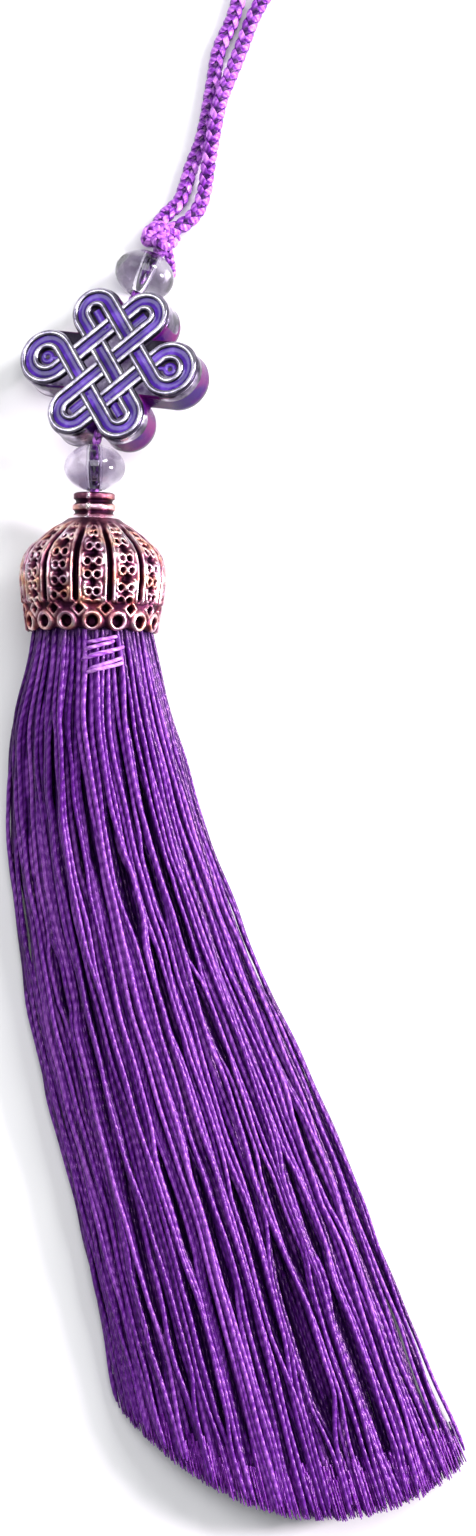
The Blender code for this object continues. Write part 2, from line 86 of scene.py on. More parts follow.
def add_camera():
    data = bpy.data.cameras.new("camera")
    data.sensor_width = SENSOR
    data.lens = SENSOR * (CAMERA_POINT[2] - SHARP_HEIGHT) / VIEW_HEIGHT
    data.clip_start = 0.01
    camera = bpy.data.objects.new("camera", data)
    camera.location = CAMERA_POINT
    bpy.context.scene.collection.objects.link(camera)
    bpy.context.scene.camera = camera


# Node helpers
def new_material(name):
    made = bpy.data.materials.new(name)
    made.use_nodes = True
    return made, made.node_tree, made.node_tree.nodes["Principled BSDF"]


def node(tree, kind, values=(), **settings):
    made = tree.nodes.new(kind)
    for key, value in settings.items():
        setattr(made, key, value)
    for socket, value in dict(values).items():
        if isinstance(value, bpy.types.NodeSocket):
            tree.links.new(value, made.inputs[socket])
        else:
            made.inputs[socket].default_value = value
    return made


def math_node(tree, operation, a, b=0.0):
    return node(tree, "ShaderNodeMath", {0: a, 1: b}, operation=operation).outputs[0]


def ramp(tree, factor, stops):
    made = node(tree, "ShaderNodeValToRGB", {0: factor})
    band = made.color_ramp
    while len(band.elements) < len(stops):
        band.elements.new(0.5)
    for element, (place, colour) in zip(band.elements, stops):
        element.position = place
        element.color = (*colour, 1.0)
    return made.outputs[0]


def attribute(tree, name, output):
    return node(tree, "ShaderNodeAttribute", attribute_name=name).outputs[output]


def noise(tree, scale, detail=3.0, vector=None):
    made = node(tree, "ShaderNodeTexNoise", {"Scale": scale, "Detail": detail})
    source = vector or node(tree, "ShaderNodeTexCoord").outputs["Object"]
    tree.links.new(source, made.inputs["Vector"])
    return made.outputs["Fac"]


def mixed(tree, factor, a, b, blend="MIX"):
    made = node(tree, "ShaderNodeMix", data_type="RGBA", blend_type=blend)
    for index, value in ((0, factor), (6, a), (7, b)):
        if isinstance(value, bpy.types.NodeSocket):
            tree.links.new(value, made.inputs[index])
        else:
            made.inputs[index].default_value = value if index == 0 else (*value, 1.0)
    return made.outputs[2]


def bump(tree, shader, height, distance, strength=1.0):
    made = node(tree, "ShaderNodeBump", {"Height": height, "Distance": distance, "Strength": strength})
    tree.links.new(made.outputs[0], shader.inputs["Normal"])


# Materials
SILK_DARK = (0.030, 0.0010, 0.082)
SILK_BODY = (0.100, 0.008, 0.225)
SILK_BRIGHT = (0.300, 0.085, 0.480)
TWIST_PITCH = 2.3 * MM
FIBRE_SCALE = 2600.0


def twist_height(tree, plies, pitch):
    """Height of a twisted thread's plies, 0 in the groove and 1 on the ply."""
    lay = node(tree, "ShaderNodeSeparateXYZ", {0: attribute(tree, "lay", "Vector")})
    around = math_node(tree, "ARCTAN2", lay.outputs["Y"], lay.outputs["X"])
    run = math_node(tree, "MULTIPLY", lay.outputs["Z"], 2 * pi * plies / pitch)
    phase = math_node(tree, "ADD", math_node(tree, "MULTIPLY", around, float(plies)), run)
    own = math_node(tree, "MULTIPLY", attribute(tree, "strand", "Fac"), 40.0)
    wave = math_node(tree, "SINE", math_node(tree, "ADD", phase, own))
    return math_node(tree, "ADD", math_node(tree, "MULTIPLY", wave, 0.5), 0.5)


def weighted(tree, *terms):
    """Sum of (socket, weight) terms; the last argument may be a plain number."""
    total = terms[-1] if isinstance(terms[-1], float) else 0.0
    for term in terms:
        if not isinstance(term, float):
            total = math_node(tree, "ADD", total, math_node(tree, "MULTIPLY", *term))
    return total


def streaks(tree):
    """Slow changes of tone along each strand, each strand with its own."""
    run = node(tree, "ShaderNodeSeparateXYZ", {0: attribute(tree, "lay", "Vector")}).outputs["Z"]
    own = math_node(tree, "MULTIPLY", attribute(tree, "strand", "Fac"), 90.0)
    place = node(tree, "ShaderNodeCombineXYZ", {0: own, 1: math_node(tree, "MULTIPLY", run, 170.0)}).outputs[0]
    return noise(tree, 1.0, 2.0, place)


def silk(name, dark, body, bright, pitch=TWIST_PITCH, gloss=0.36, depth=0.62):
    """Twisted silk: its colour follows the plies, the fibres and how deep the strand lies; painted shade darkens the
    grooves between the plies and the strands that lie deep.
    """
    made, tree, shader = new_material(name)
    worn = math_node(tree, "MULTIPLY", noise(tree, 420.0, 2.0), 1.7)
    plies = math_node(tree, "MULTIPLY", math_node(tree, "SUBTRACT", twist_height(tree, 2, pitch), 0.5), worn)
    fibre = noise(tree, FIBRE_SCALE, 4.0)
    # painted shade: the tone drops in the ply grooves and where the shade attribute is low; depth weighs that painted
    # shade
    tone = weighted(
        tree, (plies, 0.24), (fibre, 0.46), (attribute(tree, "strand", "Fac"), 0.28),
        (streaks(tree), 0.50), (attribute(tree, "shade", "Fac"), depth), -0.18 - depth * 0.72,
    )
    colour = ramp(tree, tone, ((0.14, dark), (0.50, body), (0.90, bright)))
    tree.links.new(colour, shader.inputs["Base Color"])
    shader.inputs["Roughness"].default_value = gloss
    shader.inputs["Specular IOR Level"].default_value = 0.75
    shader.inputs["Specular Tint"].default_value = (1.0, 0.55, 1.0, 1.0)
    bump(tree, shader, weighted(tree, (plies, 0.7), (fibre, 0.8)), 0.10 * MM, 0.8)
    return made


def glass():
    made, tree, shader = new_material("clear_glass")
    # painted shade and painted reflection: dark and light patches in the glass colour stand in for the beads' dark
    # refractions and bright glints
    painted_light_patches = noise(tree, 260.0, 1.5)
    tint_and_painted_light = ramp(tree, painted_light_patches, ((0.36, (0.10, 0.075, 0.13)), (0.50, (0.34, 0.30, 0.40)), (0.60, (0.90, 0.88, 0.94))))
    tree.links.new(tint_and_painted_light, shader.inputs["Base Color"])
    shader.inputs["Transmission Weight"].default_value = 1.0
    shader.inputs["IOR"].default_value = 1.52
    shader.inputs["Roughness"].default_value = 0.03
    bump(tree, shader, noise(tree, 330.0, 1.0), 0.22 * MM, 0.5)
    return made


def silver(name, dark, body, bright, edges=0.0):
    """Cast silver with patchy wear; edges says how much painted shade darkens the flanks against a painted highlight
    on top.
    """
    made, tree, shader = new_material(name)
    wear_and_painted_sheen = weighted(tree, (noise(tree, 900.0, 5.0), 1.0), (attribute(tree, "proud", "Fac"), edges), -0.75 * edges)
    colour = ramp(tree, wear_and_painted_sheen, ((0.25, dark), (0.6, body), (0.85, bright)))
    tree.links.new(colour, shader.inputs["Base Color"])
    shader.inputs["Metallic"].default_value = 1.0
    tree.links.new(ramp(tree, wear_and_painted_sheen, ((0.2, (0.30,) * 3), (0.8, (0.16,) * 3))), shader.inputs["Roughness"])
    bump(tree, shader, noise(tree, 1500.0, 4.0), 0.05 * MM, 0.5)
    return made


def enamel():
    made, tree, shader = new_material("violet_enamel")
    pool = noise(tree, 500.0, 3.0)
    colour = ramp(tree, pool, ((0.3, (0.020, 0.002, 0.12)), (0.52, (0.062, 0.009, 0.30)), (0.75, (0.22, 0.085, 0.70))))
    tree.links.new(colour, shader.inputs["Base Color"])
    shader.inputs["Roughness"].default_value = 0.22
    shader.inputs["Coat Weight"].default_value = 0.6
    bump(tree, shader, noise(tree, 1100.0, 2.0), 0.06 * MM, 0.4)
    return made


def painted_wall():
    """Side of the charm: silver, with violet lacquer in its hollows and along its back edge."""
    made, tree, shader = new_material("lacquered_silver")
    blot = noise(tree, 520.0, 4.0)
    cover = weighted(tree, (attribute(tree, "paint", "Fac"), 1.0), (blot, 0.9), -0.45)
    mask = ramp(tree, cover, ((0.42, (0.0,) * 3), (0.58, (1.0,) * 3)))
    metal = ramp(tree, blot, ((0.38, (0.025, 0.020, 0.040)), (0.52, (0.20, 0.17, 0.24)), (0.64, (0.66, 0.62, 0.70))))
    lacquer = ramp(tree, noise(tree, 300.0, 3.0), ((0.38, (0.022, 0.001, 0.085)), (0.62, (0.105, 0.005, 0.085))))
    tree.links.new(mixed(tree, mask, metal, lacquer), shader.inputs["Base Color"])
    tree.links.new(ramp(tree, cover, ((0.42, (1.0,) * 3), (0.58, (0.0,) * 3))), shader.inputs["Metallic"])
    shader.inputs["Roughness"].default_value = 0.26
    shader.inputs["Specular IOR Level"].default_value = 0.12
    bump(tree, shader, blot, 0.08 * MM, 0.5)
    return made


def copper():
    """Antique rose copper: dark patina with painted shade in the recesses, worn bright with a painted cream highlight
    on what stands proud.
    """
    made, tree, shader = new_material("antique_copper")
    proud = attribute(tree, "proud", "Fac")
    # painted highlight and painted shade: proud lifts raised relief towards cream and sinks pits and grooves towards
    # dark, over the patina
    worn = weighted(tree, (proud, 1.0), (noise(tree, 900.0, 5.0), 0.55), (noise(tree, 260.0, 2.0), 0.45), -0.52)
    stops = (
        (0.20, (0.020, 0.004, 0.014)), (0.40, (0.085, 0.018, 0.042)), (0.54, (0.30, 0.11, 0.14)),
        (0.68, (0.76, 0.50, 0.52)), (0.84, (1.0, 0.92, 0.82)),
    )
    tarnish = ramp(tree, noise(tree, 480.0, 2.0), (
        (0.34, (1.0, 0.74, 0.52)), (0.48, (1.0, 0.96, 0.94)), (0.62, (0.84, 0.80, 1.0)),
    ))
    tree.links.new(mixed(tree, 1.0, ramp(tree, worn, stops), tarnish, "MULTIPLY"), shader.inputs["Base Color"])
    shader.inputs["Metallic"].default_value = 1.0
    tree.links.new(ramp(tree, worn, ((0.2, (0.55,) * 3), (0.8, (0.26,) * 3))), shader.inputs["Roughness"])
    bump(tree, shader, noise(tree, 1800.0, 4.0), 0.05 * MM, 0.5)
    return made


def table_finish():
    made, tree, shader = new_material("pale_table")
    colour = ramp(tree, noise(tree, 40.0, 2.0), ((0.3, (0.84, 0.84, 0.85)), (0.7, (0.88, 0.88, 0.88))))
    tree.links.new(colour, shader.inputs["Base Color"])
    shader.inputs["Roughness"].default_value = 0.7
    return made


# Mesh helpers
def new_object(name, mesh, finish, slot, *stands_for):
    made = bpy.data.objects.new(name, mesh)
    bpy.context.scene.collection.objects.link(made)
    for one in finish if isinstance(finish, (list, tuple)) else [finish]:
        mesh.materials.append(one)
    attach(made, "root")
    if stands_for:
        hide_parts(*stands_for)
    return made


def mesh_from(name, bm, smooth=40.0):
    mesh = bpy.data.meshes.new(name)
    bm.to_mesh(mesh)
    bm.free()
    mesh.shade_smooth()
    mesh.set_sharp_from_angle(angle=radians(smooth))
    return mesh


def vectors(mesh):
    co = np.empty(len(mesh.vertices) * 3)
    mesh.vertices.foreach_get("co", co)
    return co.reshape(-1, 3)


def set_vectors(mesh, co):
    mesh.vertices.foreach_set("co", np.ascontiguousarray(co, dtype=np.float32).ravel())
    mesh.update()


def unit(v):
    return v / np.maximum(np.linalg.norm(v, axis=-1, keepdims=True), 1e-12)


def straight_strands(name, count, rings, sides):
    """Copies of one straight closed tube of radius 1 whose rings stand at heights 0, 1, 2 and so on."""
    bm = bmesh.new()
    bmesh.ops.create_circle(bm, cap_ends=True, segments=sides, radius=1.0)
    edges = list(bm.edges)
    for _ in range(1, rings):
        grown = bmesh.ops.extrude_edge_only(bm, edges=edges)["geom"]
        verts = [g for g in grown if isinstance(g, bmesh.types.BMVert)]
        edges = [g for g in grown if isinstance(g, bmesh.types.BMEdge) and all(v in verts for v in g.verts)]
        bmesh.ops.translate(bm, verts=verts, vec=(0, 0, 1))
    bmesh.ops.contextual_create(bm, geom=edges)
    bmesh.ops.recalc_face_normals(bm, faces=bm.faces)
    one = bpy.data.meshes.new(name)
    bm.to_mesh(one)
    bm.free()
    holder = bpy.data.objects.new(name, one)
    bpy.context.scene.collection.objects.link(holder)
    repeat = holder.modifiers.new("repeat", "ARRAY")
    repeat.count = count
    repeat.use_relative_offset = False
    evaluated = holder.evaluated_get(bpy.context.evaluated_depsgraph_get())
    mesh = bpy.data.meshes.new_from_object(evaluated)
    bpy.data.objects.remove(holder)
    return mesh


def strands(name, centres, outward, wide, high, sides=6, shade=0.5):
    """Mesh of strands: centres and outward are arrays of strand, ring and xyz, in metres.

    shade, from 0 to 1, says how much each ring of a strand lies in the light.
    """
    count, rings = centres.shape[:2]
    mesh = straight_strands(name, count, rings, sides)
    co = vectors(mesh)
    strand = np.repeat(np.arange(count), len(co) // count)
    ring = np.rint(co[:, 2]).astype(int)
    along = unit(np.gradient(centres, axis=1))
    side = unit(np.cross(along, outward))
    out = np.cross(side, along)
    wide = np.broadcast_to(wide, (count, rings))[strand, ring][:, None]
    high = np.broadcast_to(high, (count, rings))[strand, ring][:, None]
    steps = np.linalg.norm(np.diff(centres, axis=1), axis=2)
    run = np.concatenate([np.zeros((count, 1)), np.cumsum(steps, axis=1)], axis=1)
    place = centres[strand, ring] + side[strand, ring] * co[:, :1] * wide + out[strand, ring] * co[:, 1:2] * high
    lay = np.column_stack([co[:, 0], co[:, 1], run[strand, ring]])
    set_vectors(mesh, place)
    mesh.attributes.new("lay", "FLOAT_VECTOR", "POINT").data.foreach_set("vector", lay.astype(np.float32).ravel())
    tone = rng.random(count)[strand]
    mesh.attributes.new("strand", "FLOAT", "POINT").data.foreach_set("value", tone.astype(np.float32))
    lit = np.broadcast_to(shade, (count, rings))[strand, ring]
    mesh.attributes.new("shade", "FLOAT", "POINT").data.foreach_set("value", lit.astype(np.float32))
    mesh.shade_smooth()
    mesh.set_sharp_from_angle(angle=radians(65))
    return mesh


def smooth_table(rows, t):
    """Row of numbers at t, on a smooth curve through a table whose first column is t."""
    last = len(rows) - 2
    k = 0
    while k < last and t > rows[k + 1][0]:
        k += 1
    before, start, end, after = rows[max(k - 1, 0)], rows[k], rows[k + 1], rows[min(k + 2, len(rows) - 1)]
    span = end[0] - start[0]
    f = min(max((t - start[0]) / span, 0.0), 1.0)
    out = []
    for c in range(1, len(start)):
        slope_in = (end[c] - before[c]) / (end[0] - before[0]) * span
        slope_out = (after[c] - start[c]) / (after[0] - start[0]) * span
        rise = (2 * f**3 - 3 * f**2 + 1) * start[c] + (3 * f**2 - 2 * f**3) * end[c]
        out.append(rise + (f**3 - 2 * f**2 + f) * slope_in + (f**3 - f**2) * slope_out)
    return out


def smooth_route(points, spacing):
    """Points at an even spacing on a smooth curve through the given points."""
    rows = [(0.0, *points[0])]
    for a, b in zip(points, points[1:]):
        rows.append((rows[-1][0] + (Vector(b) - Vector(a)).length, *b))
    total = rows[-1][0]
    count = max(int(round(total / spacing)), 2)
    return np.array([smooth_table(rows, total * k / count) for k in range(count + 1)])


def carried_frame(line):
    """Two unit vectors across a line at each of its points, carried along it without twist."""
    along = unit(np.gradient(line, axis=0))
    first = unit(np.cross(along[0], (0.0, 0.0, 1.0)))
    sides = [first]
    for t in along[1:]:
        sides.append(unit(sides[-1] - t * np.dot(sides[-1], t)))
    sides = np.array(sides)
    return sides, np.cross(along, sides)


def braid(name, line, diameter, carriers=8, pitch=4.1, lift=0.17, sides=6):
    """Round braid along a line: half of its strands wind each way, over two and under two."""
    a, b = carried_frame(line)
    steps = np.linalg.norm(np.diff(line, axis=0), axis=1)
    run = np.concatenate([[0.0], np.cumsum(steps)])
    radius = diameter / 2
    thick = radius * 0.24
    middle = radius - thick - radius * lift
    centres, outward, shade = [], [], []
    for k in range(carriers):
        way = 1 if k % 2 == 0 else -1
        turn = 2 * pi * (k // 2) / (carriers / 2) + way * 2 * pi * run / (pitch * diameter / 1.6)
        weave = way * np.sin(2 * turn)
        spread = (middle + radius * lift * weave)[:, None]
        ray = a * np.cos(turn)[:, None] + b * np.sin(turn)[:, None]
        centres.append(line + ray * spread)
        outward.append(ray)
        shade.append(0.5 + 0.5 * weave)
    width = pi * radius / carriers * 1.06
    return strands(name, np.array(centres), np.array(outward), width, thick, sides, np.array(shade))


# Hanging loop: one braided cord, doubled
LOOP_ROUTE = (
    # x, y, height on the sheet, from the knot up the left leg, round the bight and down the right leg
    (16.25, 21.23, 1.65), (16.9, 20.5, 1.35), (17.8, 19.6, 1.0), (18.45, 18.0, 0.82), (19.05, 16.0, 0.82),
    (20.0, 13.6, 0.82), (20.6, 11.2, 0.82), (20.95, 9.2, 0.82), (21.3, 7.2, 0.82), (21.9, 4.0, 0.82),
    (23.3, 0.8, 0.82), (24.4, -3.5, 0.82), (24.9, -9.0, 0.82), (25.1, -15.5, 0.82), (25.6, -22.0, 0.82),
    (27.2, -28.0, 0.82), (30.3, -31.5, 0.82), (34.0, -31.7, 0.82), (36.7, -28.8, 0.82), (36.9, -24.0, 0.82),
    (35.0, -17.5, 0.82), (31.8, -10.5, 0.82), (28.4, -4.5, 0.82), (25.5, 0.4, 0.82), (24.1, 4.0, 0.95),
    (23.0, 6.8, 1.5), (22.1, 9.2, 2.2), (21.6, 11.4, 2.3), (21.15, 13.8, 2.1), (20.75, 16.2, 1.55),
    (20.4, 18.4, 1.15), (19.85, 20.1, 1.2), (18.9, 21.4, 1.5), (17.75, 22.17, 1.65),
)


# Where its two ends go on inside the knot
INTO_KNOT = ((15.75, 21.95, 1.9), (16.75, 22.65, 1.9))


def add_loop(finish):
    points = (INTO_KNOT[0], *LOOP_ROUTE, INTO_KNOT[1])
    line = smooth_route([at(*p) for p in points], 0.22 * MM)
    cord = new_object("loop_cord", braid("loop_cord", line, LOOP_SWELL * LOOP_CORD * MM), finish, "braid_cord", "hanging_loop")


# Frames of the tilted charm, the beads and the cap
def along(direction, centre):
    return Matrix.Translation(centre) @ Vector(direction).to_track_quat("Z", "Y").to_matrix().to_4x4()


def charm_frame():
    roll, pitch, yaw = (radians(a) for a in CHARM_TURNS)
    turn = Matrix.Rotation(yaw, 4, "Z") @ Matrix.Rotation(pitch, 4, "X") @ Matrix.Rotation(roll, 4, "Y")
    return Matrix.Translation(at(*CHARM_CENTRE)) @ turn


def cap_frame():
    lean = radians(CAP_LEAN)
    return along((sin(lean), cos(lean), 0), at(*CAP_TOP))


def on_charm(x, y, z=0.0):
    return charm_frame() @ Vector((x * MM, y * MM, z * MM))


UPPER_AXIS = (at(*KNOT_CENTRE) - on_charm(0, 6.6)).normalized()
LOWER_AXIS = (at(*LOWER_BEAD) - at(*CAP_TOP)).normalized()


def core_line():
    foot = at(*KNOT_CENTRE) - Vector(KNOT_AXIS).normalized() * (KNOT_LENGTH / 2 + 0.3) * MM
    upper, lower = at(*UPPER_BEAD), at(*LOWER_BEAD)
    points = [
        foot, upper + UPPER_AXIS * 1.5 * MM, upper - UPPER_AXIS * 1.5 * MM, on_charm(0, 6.6), on_charm(0, 0),
        on_charm(0, -6.6), lower + LOWER_AXIS * 1.2 * MM, lower - LOWER_AXIS * 1.2 * MM,
        at(CAP_TOP[0], CAP_TOP[1] + 0.8, CAP_TOP[2]), at(CAP_TOP[0] - 0.07, CAP_TOP[1] + 4.0, CAP_TOP[2]),
    ]
    return smooth_route(points, 0.2 * MM)


def add_core_cord(finish):
    mesh = braid("core", core_line(), CORE_CORD * MM, pitch=4.6)
    new_object("core_braid", mesh, finish, "braid_cord", "core_cord")


# Stopper knot: the doubled cord tied in an overhand knot and pulled tight, its cut tail beside the bead
KNOT_TAIL = ((16.3, 23.6, 1.5), (16.75, 24.7, 1.15), (17.0, 26.0, 0.8), (17.05, 27.0, 0.65))


def add_knot(finish):
    count = 150
    matrix = np.array(along(Vector(KNOT_AXIS).normalized(), at(*KNOT_CENTRE)))
    for number, (shift, size) in enumerate(((0.0, 1.0), (0.42, 0.93))):
        t = np.linspace(0, 2 * pi, count) + shift
        x = (np.sin(t) + 2 * np.sin(2 * t)) * 0.46 * size
        y = (np.cos(t) - 2 * np.cos(2 * t)) * 0.46 * size
        z = -np.sin(3 * t) * 0.78 * size
        line = np.column_stack([x, y, z]) * MM
        line = line @ matrix[:3, :3].T + matrix[:3, 3]
        mesh = braid("knot_turn", line, 1.4 * MM)
        new_object(f"knot_turn_{number + 1}", mesh, finish, "braid_cord", "stopper_knot")
    tail = smooth_route([at(*p) for p in KNOT_TAIL], 0.2 * MM)
    new_object("knot_tail", braid("knot_tail", tail, 1.15 * MM), finish, "braid_cord", "stopper_knot")


# Glass beads
def spun(name, profile, steps, closed=True):
    """Turned body about Z from a profile of (radius, height) in millimetres."""
    bm = bmesh.new()
    verts = [bm.verts.new((r * MM, 0, h * MM)) for r, h in profile]
    edges = [bm.edges.new(pair) for pair in zip(verts, verts[1:])]
    if closed:
        edges.append(bm.edges.new((verts[-1], verts[0])))
    bmesh.ops.spin(bm, geom=verts + edges, cent=(0, 0, 0), axis=(0, 0, 1), angle=2 * pi, steps=steps, use_merge=True)
    bmesh.ops.remove_doubles(bm, verts=bm.verts, dist=0.0005 * MM)
    bmesh.ops.recalc_face_normals(bm, faces=bm.faces)
    return bm


def bead_profile():
    half, radius = BEAD_LENGTH / 2, BEAD_DIAMETER / 2
    mouth = BEAD_BORE / 2 + 0.3
    start = atan2(half, mouth)
    points = [(BEAD_BORE / 2, -half + 0.3), (BEAD_BORE / 2, half - 0.3), (BEAD_BORE / 2 + 0.1, half - 0.08)]
    steps = 36
    for k in range(steps + 1):
        angle = start * (1 - 2 * k / steps)
        bulge = (cos(angle) - cos(start)) / (1 - cos(start))
        points.append((mouth + (radius - mouth) * bulge, half * sin(angle) / sin(start)))
    points.append((BEAD_BORE / 2 + 0.1, -half + 0.08))
    return points


def add_bead(name, centre, direction, finish, node_name):
    mesh = mesh_from(name, spun(name, bead_profile(), 72), 70.0)
    mesh.transform(along(direction, at(*centre)))
    new_object(name, mesh, finish, "bead_glass", node_name)


# Charm: the traditional endless knot, its bands over and under each other
def band_direction(family):
    lift = sin(BAND_ANGLE) if family == "A" else -sin(BAND_ANGLE)
    return Vector((cos(BAND_ANGLE), lift))


def band_normal(family):
    d = band_direction(family)
    return Vector((-d.y, d.x))


def band_offset(family, number):
    return (2 - number if family == "A" else number - 2) * BAND_PITCH


def crossing(a, b):
    na, nb = band_normal("A"), band_normal("B")
    det = na.x * nb.y - na.y * nb.x
    ca, cb = band_offset("A", a), band_offset("B", b)
    return Vector(((ca * nb.y - na.y * cb) / det, (na.x * cb - ca * nb.x) / det))


ROUND_LOBE = ROUND_LOBE_REACH * sin(BAND_ANGLE) - BAND_PITCH
NARROW_LOBES = {"BL": ("A", -1, 3, 2), "TR": ("A", 1, 2, 1), "BR": ("B", 1, 1, 2), "TL": ("B", -1, 2, 3)}
OVER = {(1, 1): "B", (1, 2): "A", (1, 3): "B", (2, 1): "A", (2, 2): "B",
        (2, 3): "A", (3, 1): "B", (3, 2): "A", (3, 3): "B"}
KNOT_PATH = (("A", 3, (3, 2, 1), "BL"), ("A", 2, (1, 2, 3), "TR"), ("A", 1, (3, 2, 1), "L"),
             ("B", 1, (1, 2, 3), "BR"), ("B", 2, (3, 2, 1), "TL"), ("B", 3, (1, 2, 3), "R"))


def lobe_arcs(steps=22):
    arcs = {}
    for name, (family, sign, coming, going) in NARROW_LOBES.items():
        d, n = band_direction(family) * sign, band_normal(family)
        middle = d * TURN_REACH + n * (band_offset(family, coming) + band_offset(family, going)) / 2
        away = n * (band_offset(family, coming) - band_offset(family, going)) / 2
        turns = [pi * k / steps for k in range(steps + 1)]
        arcs[name] = [middle + away * cos(a) + d * BAND_PITCH / 2 * sin(a) for a in turns]
    for name, sign in (("L", -1), ("R", 1)):
        sweep = pi / 2 + BAND_ANGLE
        turns = [sweep * (k / steps - 1) for k in range(2 * steps + 1)]
        middle = Vector((sign * ROUND_LOBE_REACH, 0))
        arcs[name] = [middle + ROUND_LOBE * Vector((sign * cos(a), sin(a))) for a in turns]
    return arcs


def band_stretches():
    """The knot's nine visible stretches, each from one under-crossing to the next."""
    arcs = lobe_arcs()
    stretches, current = [], []
    gap = BAND_WIDTH / 2 / sin(2 * BAND_ANGLE) - 0.02
    for family, number, others, lobe in KNOT_PATH:
        keys = [(number, o) if family == "A" else (o, number) for o in others]
        heading = (crossing(*keys[-1]) - crossing(*keys[0])).normalized()
        for key in keys:
            point = crossing(*key)
            if OVER[key] == family:
                current.append(point)
            else:
                current.append(point - heading * gap)
                stretches.append(current)
                current = [point + heading * gap]
        current.extend(arcs[lobe])
    stretches[0] = current + stretches[0]
    return stretches


RAIL_TOP = 0.45
CHANNEL_FLOOR = 0.16
CHANNEL_DISH = 0.07


def band_section():
    """Across and height of a band's section: a round rail each side of a dished channel."""
    rail_middle = (BAND_WIDTH + CHANNEL_WIDTH) / 4
    rail_half = (BAND_WIDTH - CHANNEL_WIDTH) / 4
    right = [(BAND_WIDTH / 2, -0.3)]
    for k in range(7):
        angle = pi * (k + 0.5) / 7
        right.append((rail_middle + rail_half * cos(angle), RAIL_TOP - rail_half * 0.8 * (1 - sin(angle))))
    right.append((CHANNEL_WIDTH / 2, CHANNEL_FLOOR))
    right.append((CHANNEL_WIDTH / 4, CHANNEL_FLOOR - CHANNEL_DISH))
    return right + [(-across, height) for across, height in reversed(right)]


def island_section(half_width):
    """Low rounded pad of enamel."""
    right = [(half_width, -0.1), (half_width, 0.05), (half_width * 0.7, 0.12), (half_width * 0.25, 0.15)]
    return right + [(-across, height) for across, height in reversed(right)]


def islands():
    """Enamel inside the lobes: a bar in each narrow one and a ring in each round one, with half widths."""
    made = []
    for family, sign, coming, going in NARROW_LOBES.values():
        d, n = band_direction(family) * sign, band_normal(family)
        middle = n * (band_offset(family, coming) + band_offset(family, going)) / 2
        made.append(([middle + d * (TURN_REACH + reach) for reach in (-2.3, -1.2, -0.1, 0.12)], 0.36))
    for sign in (-1, 1):
        centre = Vector((sign * ROUND_LOBE_REACH, 0))
        turns = [2 * pi * k / 16 + 0.05 for k in range(17)]
        made.append(([centre + 0.48 * Vector((cos(a), sin(a))) for a in turns], 0.22))
        made.append(([Vector((sign * (ROUND_LOBE_REACH - reach), 0)) for reach in (0.6, 1.1, 1.6)], 0.2))
    return made


def sweep(bm, points, section, base, skewed=True):
    """Extrude a closed section of (across, height) along flat points, in millimetres.

    skewed ends are cut along the band that they run under.
    """
    last = len(points) - 1

    def stations(k):
        before, after = points[max(k - 1, 0)], points[min(k + 1, last)]
        forward = (after - before).normalized()
        across = Vector((-forward.y, forward.x))
        widen = 1.0
        if k in (0, last) and skewed:
            cut = Vector((forward.x, -forward.y))
            cut = cut if cut.dot(across) > 0 else -cut
            across = cut
            widen = 1 / abs(sin(2 * BAND_ANGLE))
        if 0 < k < last:
            widen = 1 / max(forward.dot((points[k] - before).normalized()), 0.7)
        flat = [points[k] + across * offset * widen for offset, _ in section]
        return [Vector((p.x * MM, p.y * MM, (base + h) * MM)) for p, (_, h) in zip(flat, section)]

    verts = [bm.verts.new(p) for p in stations(0)]
    ring = [bm.edges.new(pair) for pair in zip(verts, verts[1:] + verts[:1])]
    bmesh.ops.contextual_create(bm, geom=ring)
    faces = []
    for k in range(1, last + 1):
        ring, grown = grow_ring(bm, ring, stations(k))
        faces += grown
    bmesh.ops.contextual_create(bm, geom=ring)
    return faces


def plate_outline(count):
    """Six-lobed outline: for each direction, how far the furthest lobe reaches."""
    lobes = []
    reach = BAND_PITCH / 2 + BAND_WIDTH / 2 + PLATE_BORDER
    for family, sign, side in (("A", 1, 1), ("A", -1, -1), ("B", 1, -1), ("B", -1, 1)):
        n = band_normal(family) * side * BAND_PITCH / 2
        lobes.append((n, n + band_direction(family) * sign * TURN_REACH, reach))
    for sign in (-1, 1):
        radius = ROUND_LOBE + BAND_WIDTH / 2 + PLATE_BORDER
        lobes.append((Vector((0, 0)), Vector((sign * ROUND_LOBE_REACH, 0)), radius))
    outline = []
    for k in range(count):
        ray = Vector((cos(2 * pi * k / count), sin(2 * pi * k / count)))
        furthest = 0.0
        for start, end, radius in lobes:
            for step in range(33):
                centre = start.lerp(end, step / 32)
                off = (centre - ray * centre.dot(ray)).length
                if off < radius:
                    furthest = max(furthest, centre.dot(ray) + sqrt(radius * radius - off * off))
        outline.append(ray * furthest)
    return outline


def grow_ring(bm, ring, places):
    """Extrude a closed ring of edges once and set its new vertices; gives the new ring and faces."""
    grown = bmesh.ops.extrude_edge_only(bm, edges=ring)["geom"]
    new = [g for g in grown if isinstance(g, bmesh.types.BMVert)]
    for vert, place in zip(new, places):
        vert.co = place
    edges = [g for g in grown if isinstance(g, bmesh.types.BMEdge) and all(v in new for v in g.verts)]
    return edges, [g for g in grown if isinstance(g, bmesh.types.BMFace)]


PLATE_LEVELS = (
    # inset of the wall and height, from the back face to the front face
    (0.30, -1.65), (0.10, -1.57), (0.0, -1.35), (0.05, -1.0), (0.05, -0.6), (0.05, -0.2), (0.05, 0.2),
    (0.05, 0.6), (0.05, 1.0), (0.0, 1.35), (0.10, 1.57), (0.30, 1.65),
)


# Direction, seen on the charm, of the side whose wall carries most lacquer
PAINTED_SIDE = (0.90, -0.44)


